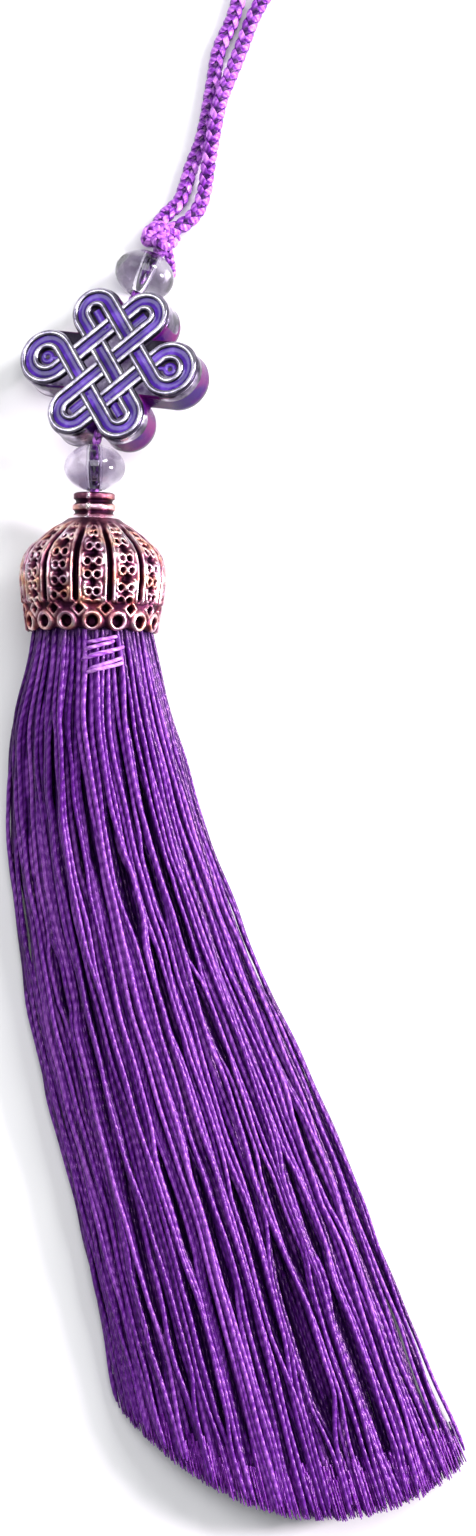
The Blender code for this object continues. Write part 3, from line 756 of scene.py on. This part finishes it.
def add_charm(*finishes):
    """The charm; finishes are those of the rails, the enamel, the side wall and the plate between the bands."""
    outline = plate_outline(300)

    def level(inset, height):
        return [(p * (1 - inset / p.length) * MM).to_3d() + Vector((0, 0, height * MM)) for p in outline]

    bm = bmesh.new()
    verts = [bm.verts.new(p) for p in level(*PLATE_LEVELS[0])]
    ring = [bm.edges.new(pair) for pair in zip(verts, verts[1:] + verts[:1])]
    ends = bmesh.ops.contextual_create(bm, geom=ring)["faces"]
    for inset, height in PLATE_LEVELS[1:]:
        ring, faces = grow_ring(bm, ring, level(inset, height))
        for face in faces:
            face.material_index = 2
    ends += bmesh.ops.contextual_create(bm, geom=ring)["faces"]
    for face in ends:
        face.material_index = 3
    half = PLATE_THICKNESS / 2
    section = band_section()
    for back in (False, True):
        made = []
        for stretch in band_stretches():
            made += sweep(bm, stretch, section, half)
        for face in made:
            middle = face.calc_center_median().z / MM - half
            if CHANNEL_FLOOR - CHANNEL_DISH - 0.02 < middle < CHANNEL_FLOOR + 0.02:
                face.material_index = 1
        pads = []
        for line, half_width in islands():
            pads += sweep(bm, line, island_section(half_width), half, skewed=False)
        for face in pads:
            face.material_index = 1
        if back:
            verts = list({v for f in made + pads for v in f.verts})
            bmesh.ops.rotate(bm, verts=verts, cent=(0, 0, 0), matrix=Matrix.Rotation(pi, 3, "Y"))
    bmesh.ops.recalc_face_normals(bm, faces=bm.faces)
    mesh = mesh_from("charm", bm, 42.0)
    co = vectors(mesh) / MM
    reach = np.hypot(co[:, 0], co[:, 1])
    hollow = np.clip((7.6 - reach) / 1.2, 0, 1)
    facing = (co[:, 0] * PAINTED_SIDE[0] + co[:, 1] * PAINTED_SIDE[1]) / np.maximum(reach, 1e-6)
    low = np.clip((0.9 - co[:, 2]) / 0.5, 0, 1) * np.clip(facing * 2.4 - 1.0, 0, 1)
    rim = 0.9 * np.clip((-0.9 - co[:, 2]) / 0.3, 0, 1)
    painted = np.maximum(np.maximum(hollow, low), rim).astype(np.float32)
    mesh.attributes.new("paint", "FLOAT", "POINT").data.foreach_set("value", painted)
    # proud: 1 on the rail tops and 0 on their flanks; the bright silver turns it into a painted highlight on top and
    # painted shade on the flanks
    proud = np.clip((np.abs(co[:, 2]) - PLATE_THICKNESS / 2 - 0.24) / 0.17, 0, 1)
    mesh.attributes.new("proud", "FLOAT", "POINT").data.foreach_set("value", proud.astype(np.float32))
    mesh.transform(charm_frame())
    new_object("charm_plate", mesh, finishes, "charm_silver", "knot_charm")


# Cap
CAP_PROFILE = (
    # distance below the neck's top, outer radius
    (0.0, 1.85), (0.12, 2.05), (0.60, 2.05), (0.72, 1.85), (0.95, 1.8), (1.10, 1.95), (1.25, 2.15), (1.65, 2.15),
    (1.80, 1.95), (2.0, 1.88), (2.15, 2.0), (2.35, 2.25), (3.1, 3.3), (3.9, 4.4), (5.3, 6.05), (6.2, 6.7),
    (7.3, 7.05), (8.7, 7.12), (10.8, 6.88), (11.7, 6.75), (12.6, 6.62), (13.3, 6.52), (13.75, 6.45), (13.9, 6.2),
)
CAP_INNER = ((13.6, 5.8), (8.7, 6.4), (6.8, 6.15), (5.3, 5.3), (3.7, 3.4), (3.0, 1.2), (2.4, 0.85), (0.0, 0.85))
GORES = 13
RINGS = 16
CAP_TURN = radians(92.5)
CAP_SEAM = radians(77.0)
HOOP_ROW = 12.95
DIAMOND_ROW = 11.75
CAP_STEPS = 432
PROFILE_STEP = 0.13


def filled(profile, spacing):
    """Profile with points added so that none are further apart than the spacing."""
    out = [profile[0]]
    for a, b in zip(profile, profile[1:]):
        pieces = max(int(sqrt((b[0] - a[0]) ** 2 + (b[1] - a[1]) ** 2) / spacing), 1)
        out += [(a[0] + (b[0] - a[0]) * k / pieces, a[1] + (b[1] - a[1]) * k / pieces) for k in range(1, pieces + 1)]
    return out


def bell(distance, half_width):
    return np.exp(-((distance / half_width) ** 2))


def cap_height_map(angle, below):
    """Relief of the cap in millimetres by the angle round it and the distance below its top."""
    radius = np.interp(below, [p[0] for p in CAP_PROFILE], [p[1] for p in CAP_PROFILE])
    turns = (angle - CAP_TURN) / (2 * pi)
    gore = (turns * GORES + 0.5) % 1.0
    number = np.floor(turns * GORES + 0.5)
    width = radius * 2 * pi / GORES
    across = (gore - 0.5) * width
    edge = width / 2 - np.abs(across)
    body = np.clip((below - 3.0) / 0.5, 0, 1) * np.clip((11.2 - below) / 0.25, 0, 1)
    slot = bell(edge, 0.20) * np.clip((below - 3.6) / 0.8, 0, 1) * np.clip((11.0 - below) / 0.25, 0, 1)
    lip = bell(edge - 0.42, 0.15) * body
    room = np.clip((width / 2 - 0.50) / 1.1, 0.25, 1)
    row = (below - 3.4) / 1.45 + 0.37 * np.sin(number * 2.1)
    uneven = np.sin(number * 5.3 + np.floor(row) * 2.9)
    other = np.sin(number * 3.1 + np.floor(row) * 4.7 + 1.0 * np.sign(across))
    height_in_cell = (row - np.floor(row) - 0.5) * 1.45 + 0.14 * uneven
    across = across + 0.10 * other
    # mirrored scrolls each side of a stem, with pits inside and between them
    from_eye = np.hypot(np.abs(across) - 0.46 * room, height_in_cell - 0.10)
    scroll = bell(from_eye - 0.40 * room, 0.14)
    arch = bell(np.hypot(across, height_in_cell + 0.35) - 0.92 * room, 0.13) * (height_in_cell < 0.1)
    eye = bell(from_eye, 0.24 * room)
    between = bell(np.hypot(across, np.abs(height_in_cell) - 0.72), 0.30 * room)
    inside = np.clip((edge - 0.45) / 0.2, 0, 1) * body
    eye = eye * np.clip(0.85 + 0.5 * other, 0.25, 1.15)
    relief = inside * (0.26 * np.maximum(scroll, arch) - 0.46 * np.maximum(eye, between) - 0.04)
    relief = relief + 0.22 * lip - 0.62 * slot
    ring_pitch = 2 * pi / RINGS * radius
    ring_across = ((turns * RINGS + 0.5) % 1.0 - 0.5) * ring_pitch
    from_hole = np.hypot(ring_across, below - HOOP_ROW)
    band = np.clip((below - 11.15) / 0.1, 0, 1)
    hoop = bell(from_hole - 0.78, 0.30)
    gap_across = ((turns * RINGS) % 1.0 - 0.5) * ring_pitch
    from_diamond = np.abs(gap_across) + np.abs(below - DIAMOND_ROW)
    diamond = bell(from_diamond - 0.72, 0.24)
    hole = np.clip((0.56 - from_hole) / 0.14, 0, 1) + np.clip((0.40 - from_diamond) / 0.14, 0, 1)
    return relief + band * (0.30 * np.maximum(hoop, diamond) - 0.14 - 0.62 * np.clip(hole, 0, 1))


def add_cap(finish):
    outer = filled([(r, -s) for s, r in CAP_PROFILE], PROFILE_STEP)
    inner = [(r, -s) for s, r in CAP_INNER]
    bm = spun("cap", outer + inner, CAP_STEPS)
    mesh = mesh_from("cap", bm, 70.0)
    co = vectors(mesh)
    radius = np.hypot(co[:, 0], co[:, 1]) / MM
    angle = np.arctan2(co[:, 1], co[:, 0])
    below = -co[:, 2] / MM
    shell = np.interp(below, [p[0] for p in CAP_PROFILE], [p[1] for p in CAP_PROFILE])
    on_outside = (radius > shell - 0.05) & (below > 2.6)
    height = cap_height_map(angle, below)
    limit = np.where(below > 11.1, 5.9, shell - 0.62)
    seam = 0.13 * bell((angle - CAP_SEAM) * radius, 0.20) * np.clip((3.0 - below) / 0.4, 0, 1)
    moved = np.where(on_outside, np.maximum(radius + height, limit), radius + np.where(radius > 1.5, seam, 0))
    scale = moved / np.maximum(radius, 1e-9)
    co[:, 0] *= scale
    co[:, 1] *= scale
    scallop = 0.35 * (1 - np.abs(np.cos((angle - CAP_TURN) * RINGS / 2)))
    co[:, 2] += np.where(below > 13.2, scallop * np.clip((below - 13.2) / 0.7, 0, 1), 0) * MM
    set_vectors(mesh, co)
    # proud: high on raised relief, on the neck rings and the seam, low in pits, grooves and inside the shell; the
    # copper paints highlight and shade from it
    proud = np.where(on_outside, 0.50 + height * 1.35, 0.36 + (radius - 1.98) * 1.9 + seam * 3.0)
    proud = np.where(radius < shell - 0.5, 0.1, proud)
    mesh.attributes.new("proud", "FLOAT", "POINT").data.foreach_set("value", proud.astype(np.float32))
    mesh.transform(cap_frame())
    co = vectors(mesh)
    co[:, 2] = np.maximum(co[:, 2], 0.0)
    set_vectors(mesh, co)
    new_object("cap_shell", mesh, finish, "cap_copper", "cap")


# Skirt of twisted silk threads
SKIRT_TABLE = (
    # share of the length, left edge x and y, right edge x and y, pile height, height of its underside
    (0.00, 3.5, 63.0, 15.1, 63.0, 11.2, 1.45),
    (0.05, 2.9, 66.2, 15.9, 66.4, 11.2, 0.9),
    (0.12, 1.2, 72.6, 17.6, 73.4, 10.2, 0.2),
    (0.25, 0.5, 83.0, 21.0, 84.6, 8.3, 0.0),
    (0.40, 1.8, 95.0, 25.9, 96.6, 7.2, 0.0),
    (0.55, 3.8, 106.9, 31.7, 109.3, 6.4, 0.0),
    (0.70, 6.6, 118.8, 37.2, 122.5, 5.8, 0.0),
    (0.85, 9.3, 130.7, 42.3, 135.0, 5.2, 0.0),
    (1.00, 11.8, 142.5, 47.6, 148.0, 4.6, 0.0),
)
END_BULGE = 7.0
SETTLED_AT = 0.25
THREAD_DIAMETER = 0.47
THREADS = 470
THREAD_RINGS = 80
STATIONS = 19
THREAD_GROUPS = 4
TUFTS = 95
TUFT_PULL = 0.30
CLEFT_PUSH = 0.034
CLEFT_WIDTH = 0.060


def skirt_section(t):
    """Edges, heights and settling of the tassel's section at share t of its length."""
    lx, ly, rx, ry, pile, under = smooth_table(SKIRT_TABLE, t)
    settle = min(t / SETTLED_AT, 1.0)
    return lx, ly, rx, ry, pile, max(under, 0.0), settle * settle * (3 - 2 * settle)


def to_section(disc, t):
    """Disc positions (u, w) to distance across and height in millimetres at share t."""
    lx, ly, rx, ry, pile, under, settle = skirt_section(t)
    spread = sqrt((rx - lx) ** 2 + (ry - ly) ** 2)
    chord = np.sqrt(np.clip(1 - disc[:, 0] ** 2, 0, 1))
    flat = under + pile * (disc[:, 1] + chord) / 2
    round_z = CAP_TOP[2] + disc[:, 1] * BUNDLE_RADIUS
    return np.column_stack([disc[:, 0] * spread / 2, round_z + (flat - round_z) * settle])


def from_section(place, t):
    lx, ly, rx, ry, pile, under, settle = skirt_section(t)
    spread = sqrt((rx - lx) ** 2 + (ry - ly) ** 2)
    u = np.clip(place[:, 0] / (spread / 2), -0.999, 0.999)
    chord = np.sqrt(1 - u**2)
    base = CAP_TOP[2] * (1 - settle) + (under + pile * chord / 2) * settle
    w = (place[:, 1] - base) / (BUNDLE_RADIUS * (1 - settle) + pile / 2 * settle)
    disc = np.column_stack([u, w])
    reach = np.linalg.norm(disc, axis=1, keepdims=True)
    return disc / np.maximum(reach, 1.0)


def pushed_apart(place, distance, rounds):
    """Points moved until few are closer than the distance."""
    for _ in range(rounds):
        gap = place[:, None, :] - place[None, :, :]
        far = np.linalg.norm(gap, axis=2) + np.eye(len(place)) * 10
        close = np.clip(distance - far, 0, None) / far * 0.5
        place = place + (gap * close[:, :, None]).sum(axis=1) * 0.6
    return place


CLEFTS = [
    # dark partings: place across from -1 to 1 at their start and end, and their start and end along
    (0.52, 0.40, 0.02, 0.32), (0.56, 0.44, 0.24, 0.44), (0.18, 0.22, 0.58, 0.88), (-0.25, -0.28, 0.10, 0.35),
]
RANDOM_CLEFTS = 22


def all_clefts():
    made = list(CLEFTS)
    for _ in range(RANDOM_CLEFTS):
        middle, start = rng.uniform(-0.8, 0.8), rng.uniform(0.05, 0.75)
        made.append((middle, middle + rng.normal(0, 0.04), start, start + rng.uniform(0.12, 0.3)))
    return made


def parted(u, w, t, clefts):
    """Places across, moved away from the partings by the threads on top; w is the height in the pile."""
    for first, last, start, end in clefts:
        share = (t - start) / (end - start)
        off = u - (first + (last - first) * share)
        side = 1.0 if np.interp(0.5, share, off) > 0 else -1.0
        depth = np.clip(np.minimum(share, 1 - share) * 4, 0, 1) ** 2 * np.clip(w * 3 + 0.6, 0, 1)
        depth = depth * np.clip((0.97 - np.abs(u)) * 8, 0, 1)
        u = u + depth * CLEFT_PUSH * side * np.exp(-((np.maximum(off * side, 0) / CLEFT_WIDTH) ** 2))
    return u


def tuft_pull(place, tuft, share):
    """Threads drawn towards the middle of their tuft, which leaves dark clefts between tufts."""
    middles = np.array([place[tuft == k].mean(axis=0) if (tuft == k).any() else (0, 0) for k in range(TUFTS)])
    edge = np.abs(place[:, :1]) / np.abs(place[:, 0]).max()
    return place + (middles[tuft] - place) * (TUFT_PULL * share * np.clip((0.84 - edge) * 5, 0, 1))


def thread_flow():
    """Disc position of each thread at each station, as the round bundle spreads flat."""
    k = np.arange(THREADS)
    reach = np.sqrt((k + 0.5) / THREADS) * 0.97
    golden = k * pi * (3 - sqrt(5))
    disc = np.column_stack([reach * np.cos(golden), reach * np.sin(golden)])
    flow = []
    drift = rng.normal(0, 1, (THREADS, 2))
    tuft = np.zeros(THREADS, int)
    for step in range(STATIONS):
        t = step / (STATIONS - 1)
        drift = drift * 0.8 + rng.normal(0, 1, (THREADS, 2)) * 0.55
        place = to_section(disc, t) + drift * (0.13, 0.06)
        place = pushed_apart(place, THREAD_DIAMETER, 12)
        disc = from_section(place, t)
        if step == 3:
            leaders = place[rng.permutation(THREADS)[:TUFTS]]
            tuft = np.linalg.norm(place[:, None] - leaders[None], axis=2).argmin(axis=1)
        grouped = tuft_pull(place, tuft, min(max(t - 0.1, 0) / 0.2, 1)) if step >= 3 else place
        flow.append(from_section(grouped, t))
    flow = np.array(flow)
    for _ in range(2):
        middle = (flow[:-2] + 2 * flow[1:-1] + flow[2:]) / 4
        flow = np.concatenate([flow[:1], middle, flow[-1:]])
    return flow


def thread_lines():
    """Centre lines of all threads, as an array of thread, ring and xyz in metres."""
    flow = thread_flow()
    low = np.clip((flow[-1, :, 1] + 1) / 2, 0, 1)
    ends = 0.995 - 0.035 * (1 - low) - 0.012 * rng.random(THREADS) ** 2
    stations = np.linspace(0, 1, STATIONS)
    lines = np.empty((THREADS, THREAD_RINGS, 3))
    clefts = all_clefts()
    for i in range(THREADS):
        t = np.linspace(0, 1, THREAD_RINGS) * ends[i]
        u = np.interp(t, stations, flow[:, i, 0])
        w = np.interp(t, stations, flow[:, i, 1])
        u = np.clip(parted(u, w, t, clefts), -0.99, 0.99)
        for j in range(THREAD_RINGS):
            lines[i, j] = skirt_point(u[j], w[j], t[j])
    share = np.linspace(0, 1, THREAD_RINGS)[None, :]
    for waves, size in ((2.5, 0.16), (6.0, 0.07), (11.0, 0.04)):
        turn = rng.random((THREADS, 1)) * 2 * pi
        lines[:, :, 0] += np.sin(2 * pi * waves * share + turn) * size * MM * np.minimum(share * 8, 1)
    return lines


def skirt_point(u, w, t):
    lx, ly, rx, ry, pile, under, settle = skirt_section(t)
    share = (1 + u) / 2
    chord = sqrt(max(1 - u * u, 0.0))
    flat = under + (pile - THREAD_DIAMETER) * (w + chord) / 2 + THREAD_DIAMETER / 2
    round_z = CAP_TOP[2] + w * BUNDLE_RADIUS
    x = lx + (rx - lx) * share
    y = ly + (ry - ly) * share + END_BULGE * (1 - u * u) * t**2.2
    return at(x, y, round_z + (flat - round_z) * settle)


def depth_shade(lines):
    """1 where a point lies on top of the threads beside it, 0 where it lies deep between them."""
    shade = np.empty(lines.shape[:2])
    for j in range(lines.shape[1]):
        x, z = lines[:, j, 0], lines[:, j, 2]
        near = np.abs(x[:, None] - x[None, :]) < 0.38 * MM
        top = np.where(near, z[None, :], -1.0).max(axis=1)
        shade[:, j] = 1 - np.clip((top - z - 0.08 * MM) / (0.7 * MM), 0, 1)
    return shade


def up_from(centres):
    outward = np.zeros_like(centres)
    outward[..., 2] = 1.0
    return outward


def add_skirt(finish):
    lines = thread_lines()
    # painted shade: threads darker where they lie deep between their neighbours, a painted shadow just under the cap's
    # rim and painted light falloff towards the ends
    painted_rim_shadow = np.clip(np.linspace(0, 1, THREAD_RINGS) / 0.035, 0.15, 1)
    painted_light_falloff = 1 - 0.20 * np.linspace(0, 1, THREAD_RINGS) ** 1.5
    shade = depth_shade(lines) * (painted_rim_shadow * painted_light_falloff)[None, :]
    order = np.argsort(lines[:, THREAD_RINGS // 2, 2])
    taper = np.ones(THREAD_RINGS)
    taper[-1] = 0.5
    thickness = THREAD_DIAMETER / 2 * MM * (0.85 + 0.35 * rng.random(THREADS))
    for number, part in enumerate(np.array_split(order, THREAD_GROUPS)):
        half = thickness[part][:, None] * taper[None, :]
        centres = lines[part]
        mesh = strands(f"threads_{number + 1}", centres, up_from(centres), half, half, 6, shade[part])
        new_object(f"silk_threads_{number + 1}", mesh, finish, "silk_thread", "skirt")


# Fine fibres where the thread ends have come untwisted
TIP_FIBRES = 2600
TIP_RINGS = 6
TIP_START = 0.935


def add_tips(finish):
    lines = np.empty((TIP_FIBRES, TIP_RINGS, 3))
    for i in range(TIP_FIBRES):
        reach = sqrt(rng.random()) * 0.985
        turn = rng.random() * 2 * pi
        u, w = reach * cos(turn), reach * sin(turn)
        start = TIP_START + 0.03 * rng.random()
        end = 1.0 - 0.022 * (1 - (w + 1) / 2) - 0.003 * rng.random()
        du, dw = rng.normal(0, 0.005), rng.normal(0, 0.05)
        for j, share in enumerate(np.linspace(0, 1, TIP_RINGS)):
            u_j = min(max(u + du * share, -0.99), 0.99)
            w_j = min(max(w + dw * share, -1.0), 1.0)
            lines[i, j] = skirt_point(u_j, w_j, start + (end - start) * share)
    half = np.linspace(0.13, 0.06, TIP_RINGS)[None, :] * MM
    shade = 0.9 * depth_shade(lines)
    mesh = strands("tips", lines, up_from(lines), half, half, 4, shade)
    new_object("silk_tips", mesh, finish, "silk_thread", "skirt")


# Binding turns that show between the threads, just under the cap's rim
BINDING_TURNS = 6
BINDING_TOP = 14.25
BINDING_PITCH = 0.50


def add_binding(finish):
    matrix = np.array(cap_frame())
    share = np.linspace(0, 1, 26)
    lines = []
    for turn in range(BINDING_TURNS):
        angle = radians(84 + rng.uniform(-4, 6)) + radians(38 + rng.uniform(-6, 4)) * share
        radius = 6.05 + 0.06 * turn - 1.5 * np.abs(2 * share - 1) ** 4
        below = BINDING_TOP + BINDING_PITCH * (turn + rng.uniform(-0.2, 0.2)) + rng.uniform(0.8, 1.4) * (1 - share)
        lines.append(np.column_stack([radius * np.cos(angle), radius * np.sin(angle), -below]))
    local = np.array(lines)
    outward = np.dstack([local[..., 0], local[..., 1], np.zeros(local.shape[:2])]) @ matrix[:3, :3].T
    centres = local * MM @ matrix[:3, :3].T + matrix[:3, 3]
    # painted highlight: the binding's shade is set above fully lit
    mesh = strands("binding", centres, outward, 0.19 * MM, 0.19 * MM, 8, 1.1)
    new_object("binding_turns", mesh, finish, "silk_thread", "skirt")


def add_head(finish):
    """Bound head of the tassel, inside the cap."""
    profile = [
        (0.0, -4.3), (2.4, -4.3), (4.9, -5.5), (5.7, -7.0), (6.0, -8.7), (5.4, -13.0), (5.2, -14.4), (0.0, -14.4),
    ]
    bm = spun("head", profile, 64, closed=False)
    mesh = mesh_from("head", bm, 60.0)
    mesh.transform(cap_frame())
    new_object("skirt_head", mesh, finish, "silk_thread", "skirt")


# Stage
def add_stage(finish):
    bm = bmesh.new()
    bmesh.ops.create_grid(bm, x_segments=1, y_segments=1, size=2.0)
    mesh = bpy.data.meshes.new("table")
    bm.to_mesh(mesh)
    bm.free()
    floor = bpy.data.objects.new("table", mesh)
    floor.location.z = -0.0001
    mesh.materials.append(finish)
    bpy.context.scene.collection.objects.link(floor)


def add_light(name, place, aim, size, power, colour=(1, 1, 1)):
    data = bpy.data.lights.new(name, "AREA")
    data.shape = "RECTANGLE"
    data.size, data.size_y = size
    data.energy = power
    data.color = colour
    lamp = bpy.data.objects.new(name, data)
    lamp.location = place
    lamp.rotation_euler = (Vector(aim) - Vector(place)).to_track_quat("-Z", "Y").to_euler()
    bpy.context.scene.collection.objects.link(lamp)


def add_world():
    world = bpy.data.worlds.new("studio")
    world.use_nodes = True
    world.node_tree.nodes["Background"].inputs[0].default_value = (0.93, 0.94, 1.0, 1.0)
    world.node_tree.nodes["Background"].inputs[1].default_value = 0.26
    bpy.context.scene.world = world
    bpy.context.scene.view_settings.view_transform = "Standard"


def main():
    add_camera()
    cord = silk("violet_cord", (0.018, 0.001, 0.060), (0.21, 0.024, 0.41), (0.74, 0.27, 0.93), 0.9 * MM, 0.34, 1.15)
    thread = silk("purple_silk", SILK_DARK, SILK_BODY, SILK_BRIGHT)
    add_loop(cord)
    add_knot(cord)
    add_core_cord(cord)
    clear = glass()
    add_bead("bead_upper", UPPER_BEAD, UPPER_AXIS, clear, "upper_bead")
    add_bead("bead_lower", LOWER_BEAD, LOWER_AXIS, clear, "lower_bead")
    bright = silver("bright_silver", (0.045, 0.035, 0.065), (0.48, 0.44, 0.56), (0.93, 0.90, 0.95), 0.62)
    # the plate between the bands in a darker silver
    worn = silver("dark_plate_silver", (0.028, 0.012, 0.050), (0.115, 0.095, 0.14), (0.34, 0.31, 0.38))
    add_charm(bright, enamel(), painted_wall(), worn)
    add_cap(copper())
    add_skirt(thread)
    add_tips(silk("frayed_silk", (0.045, 0.0015, 0.12), (0.135, 0.010, 0.27), (0.30, 0.07, 0.46), depth=0.50))
    # painted highlight: the binding gets a lighter copy of the silk
    add_binding(silk("lit_binding_silk", (0.05, 0.003, 0.14), (0.30, 0.06, 0.52), (0.85, 0.45, 0.95)))
    add_head(thread)
    add_stage(table_finish())
    add_light("overhead", (0.0, 0.16, 0.42), (0, 0.0, 0), (0.26, 0.30), 1.15)
    add_light("key", (0.20, 0.21, 0.22), (0, 0.03, 0), (0.08, 0.12), 0.8)
    add_light("low_right", (0.26, 0.008, 0.12), (-0.008, 0.015, 0.01), (0.05, 0.07), 1.5, (1.0, 0.90, 1.0))
    add_light("left", (-0.26, 0.20, 0.24), (0, 0.03, 0), (0.20, 0.22), 0.34, (0.93, 0.94, 1.0))
    add_world()


main()
